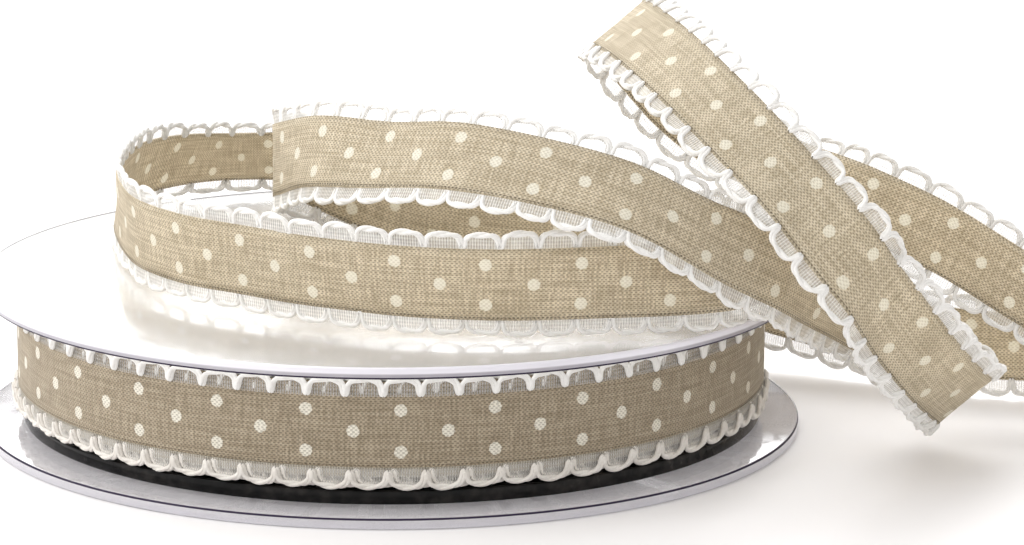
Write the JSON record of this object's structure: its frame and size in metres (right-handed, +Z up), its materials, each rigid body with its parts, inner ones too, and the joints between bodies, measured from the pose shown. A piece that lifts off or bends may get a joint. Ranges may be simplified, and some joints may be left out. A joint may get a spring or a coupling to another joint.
{
  "type": "reel of lace-edged ribbon",
  "caption": "Dotted linen-look ribbon with scalloped lace edging, wound on a clear plastic reel, its long loose end looped over the top and beside it",
  "frame": {"origin": "under the middle of the whole part, on the surface it rests on", "axes": "X runs along the part's length, from the reel to the ribbon's far bend; Z is up, along the reel's axis; the front, seen in the picture, faces -Y"},
  "size_m": [0.1708, 0.116, 0.0615],
  "materials": {
    "clear_plastic": "clear, smooth moulded plastic",
    "black_plastic": "glossy",
    "linen": "matt plain weave with small cream dots",
    "white_cotton": "soft looped cotton cord"
  },
  "bodies": {
    "root": {"bottom_disc": "clear_plastic", "top_disc": "clear_plastic", "hub": "clear_plastic", "black_disc": "black_plastic", "wound_linen": "linen", "wound_edging_low": "white_cotton", "wound_edging_high": "white_cotton", "loose_linen": "linen", "loose_edging_low": "white_cotton", "loose_edging_high": "white_cotton"}
  },
  "joints": []
}
